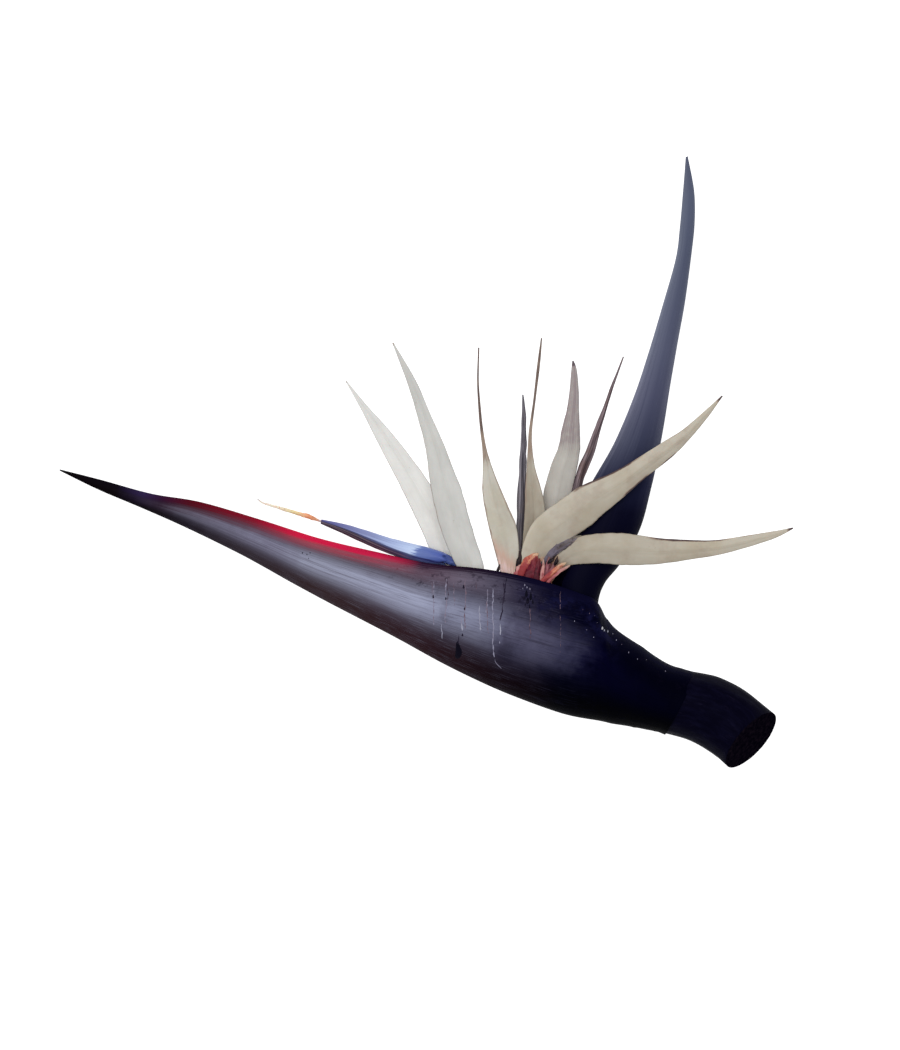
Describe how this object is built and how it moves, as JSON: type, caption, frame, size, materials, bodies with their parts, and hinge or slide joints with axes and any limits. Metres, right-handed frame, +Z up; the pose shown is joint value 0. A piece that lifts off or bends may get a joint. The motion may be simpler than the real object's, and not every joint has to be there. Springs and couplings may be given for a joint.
{
  "type": "white bird of paradise flower",
  "caption": "Cut flower head lying on its side: long dark beaked bract, an upright second bract, white sepals in a fan, blue tongue and a short cut stalk.",
  "frame": {"origin": "on the surface that the flower lies on, below the middle of its outline", "axes": "+X from the lower bract's beak towards the cut stalk, +Y up along the upper bract, +Z up from the surface"},
  "size_m": [0.4558, 0.3801, 0.0524],
  "materials": {
    "bract_skin": "smooth waxy skin with a dull sheen",
    "stalk_skin": "smooth waxy skin, pale where it is cut",
    "fresh_sepal": "soft matte petal",
    "old_sepal": "drying matte petal with brown edges",
    "blue_petal": "satin petal",
    "stigma": "sticky fine grain",
    "dried_petal": "dry and crumpled",
    "flower_base": "moist flesh"
  },
  "bodies": {
    "root": {"stem": "stalk_skin", "lower_bract": "bract_skin", "upper_bract": "bract_skin", "flower_1_ovary": "flower_base", "flower_1_sepal_left": "fresh_sepal", "flower_1_sepal_front": "fresh_sepal", "flower_1_sepal_back": "fresh_sepal", "flower_1_short_petal": "blue_petal", "flower_1_tongue": "blue_petal", "flower_1_style": "stigma", "flower_2_ovary": "flower_base", "flower_2_sepal_left": "old_sepal", "flower_2_sepal_upright": "old_sepal", "flower_2_sepal_wide": "old_sepal", "flower_2_tongue": "dried_petal", "flower_3_ovary": "flower_base", "flower_3_sepal_upright": "old_sepal", "flower_3_sepal_level": "old_sepal", "flower_3_sepal_back": "old_sepal", "flower_3_tongue": "dried_petal"}
  },
  "joints": []
}
